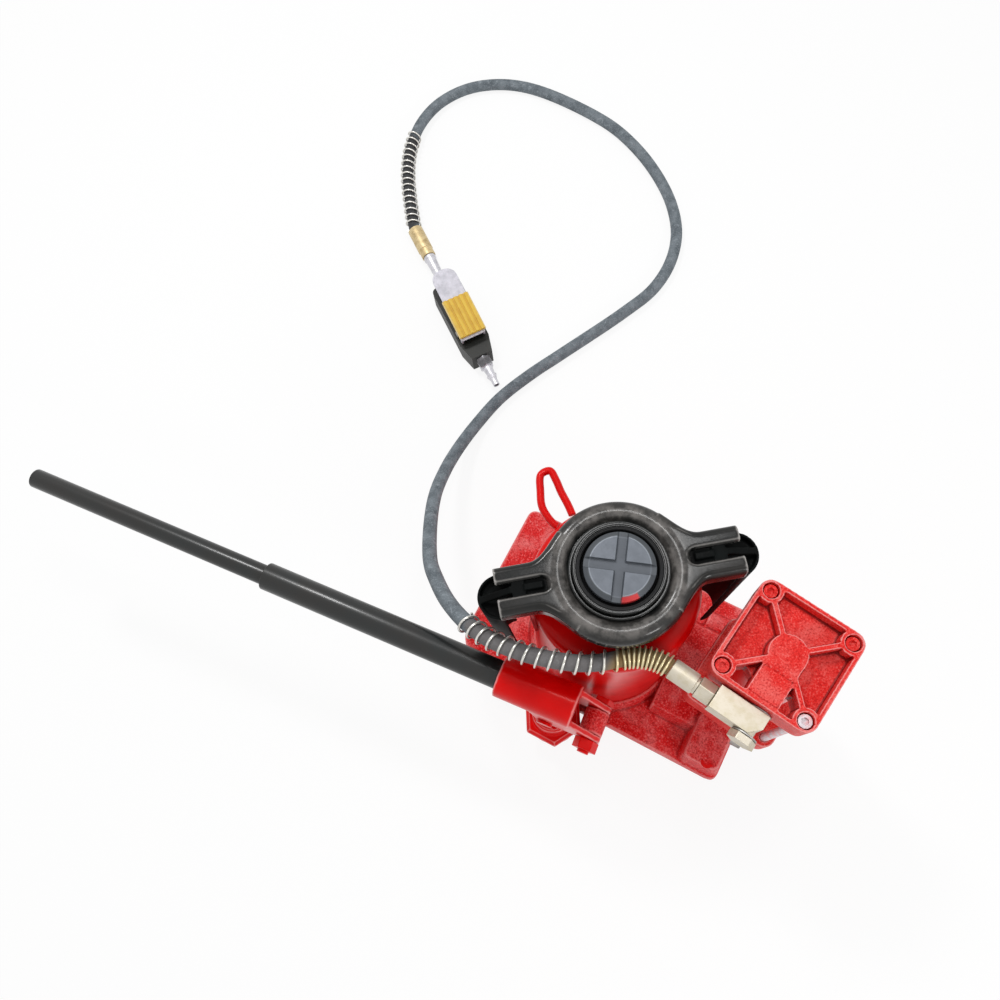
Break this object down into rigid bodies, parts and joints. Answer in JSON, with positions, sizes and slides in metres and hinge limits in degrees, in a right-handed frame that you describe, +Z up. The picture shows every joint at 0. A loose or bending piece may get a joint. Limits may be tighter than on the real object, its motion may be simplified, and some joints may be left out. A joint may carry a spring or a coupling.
{
  "type": "air-assisted hydraulic bottle jack",
  "caption": "Bottle jack with a round oil tank, a plunger hand pump with a sliding lever handle, an upright air motor with its hose and valve, and a two-grip carrying handle.",
  "frame": {"origin": "where the ram's axis meets the flat underside of the base", "axes": "+Z up along the ram, +X along the base towards the air motor, -Y towards the hand pump"},
  "size_m": [0.6817, 0.7243, 0.2677],
  "materials": {
    "cast_red": "rough casting under red paint",
    "head_red": "cast under red paint",
    "gloss_red": "glossy red paint",
    "pressed_black": "glossy black paint",
    "saddle_grey": "forged, grey phosphate",
    "steel": "machined steel",
    "chrome": "hard chrome",
    "zinc": "zinc plated",
    "tan_steel": "yellow passivated ferrule",
    "bush_brass": "turned bearing metal",
    "spring_steel": "drawn wire",
    "rubber": "black seal rubber",
    "rubber_red": "red plug rubber",
    "hose_grey": "blue-grey hose cover",
    "valve_black": "dark olive",
    "yellow_plastic": "yellow lever cover"
  },
  "bodies": {
    "jack": {"base_casting": "cast_red", "hydraulic_cylinder": "steel", "reservoir_tank": "gloss_red", "tank_seal": "rubber", "tank_head": "pressed_black", "wiper_seal": "rubber", "guide_bush": "bush_brass", "carry_handle": "pressed_black", "handle_nut": "pressed_black", "grip_right": "pressed_black", "grip_left": "pressed_black", "carry_loop": "gloss_red", "filler_plug": "rubber_red", "overload_plug": "gloss_red", "pump_body": "gloss_red", "pump_gland": "gloss_red", "fulcrum_bolt": "steel", "fulcrum_nut": "gloss_red", "motor_barrel": "cast_red", "motor_lower_head": "head_red", "motor_cylinder": "gloss_red", "motor_upper_head": "head_red", "tie_bolt_1": "steel", "tie_bolt_2": "steel", "tie_bolt_3": "steel", "tie_bolt_4": "steel", "return_spring": "spring_steel", "connector_block": "zinc", "banjo_bolt": "zinc", "banjo_washer": "steel", "motor_washer": "steel", "hose_swivel_nut": "zinc", "hose_ferrule": "zinc", "motor_end_spring": "spring_steel", "hose": "hose_grey", "valve_end_spring": "spring_steel", "valve_ferrule": "tan_steel", "swivel_stem": "zinc", "valve_body": "valve_black", "quick_connect_nipple": "zinc", "lever_pin": "steel"},
    "ram": {"ram": "chrome", "ram_piston_seal": "rubber"},
    "screw": {"extension_screw": "steel", "saddle": "saddle_grey"},
    "pump_lever": {"handle_socket": "gloss_red", "plunger_pin": "steel"},
    "plunger": {"pump_plunger": "chrome"},
    "handle": {"handle_tube": "pressed_black"},
    "handle_end": {"handle_extension": "pressed_black"},
    "release_screw": {"release_valve": "steel"},
    "motor_piston": {"air_piston": "steel", "air_piston_seal": "rubber", "air_plunger": "chrome"},
    "valve_lever": {"valve_lever": "zinc", "lever_pad": "yellow_plastic"},
    "valve_button": {"valve_stem": "steel"}
  },
  "joints": [
    {"name": "ram_lift", "type": "slide", "parent": "jack", "child": "ram", "axis": [0, 0, 1], "range_m": [0, 0.14]},
    {"name": "screw_extend", "type": "slide", "parent": "ram", "child": "screw", "axis": [0, 0, 1], "range_m": [0, 0.07]},
    {"name": "pump_lever", "type": "hinge", "parent": "jack", "child": "pump_lever", "pos_m": [0.02887, -0.09007, 0.12], "axis": [-0.0825, 0.9966, 0], "range_deg": [0, 14]},
    {"name": "plunger_stroke", "type": "slide", "parent": "jack", "child": "plunger", "axis": [0, 0, 1], "range_m": [0, 0.0095]},
    {"name": "handle_pull", "type": "slide", "parent": "pump_lever", "child": "handle", "axis": [-0.9966, -0.0825, 0], "range_m": [0, 0.055]},
    {"name": "extension_pull", "type": "slide", "parent": "handle", "child": "handle_end", "axis": [-0.9966, -0.0825, 0], "range_m": [0, 0.055]},
    {"name": "release_turn", "type": "hinge", "parent": "jack", "child": "release_screw", "pos_m": [0.149, -0.036, 0.022], "axis": [1, 0, 0], "range_deg": [0, 270]},
    {"name": "motor_stroke", "type": "slide", "parent": "jack", "child": "motor_piston", "axis": [0, 0, -1], "range_m": [0, 0.045], "stiffness_N_per_m": 400, "springref_m": -0.01, "deforming": ["return_spring"]},
    {"name": "valve_press", "type": "hinge", "parent": "jack", "child": "valve_lever", "pos_m": [-0.27577, 0.23197, 0.0298], "axis": [-0.6004, -0.7997, 0], "range_deg": [0, 8], "stiffness_Nm_per_rad": 2, "springref_deg": -8.59},
    {"name": "button_press", "type": "slide", "parent": "jack", "child": "valve_button", "axis": [0, 0, -1], "range_m": [0, 0.005]}
  ],
  "couplings": [
    {"joint": "plunger_stroke", "follows": "pump_lever", "m_per_rad": 0.0386},
    {"joint": "button_press", "follows": "valve_press", "m_per_rad": 0.0345}
  ]
}
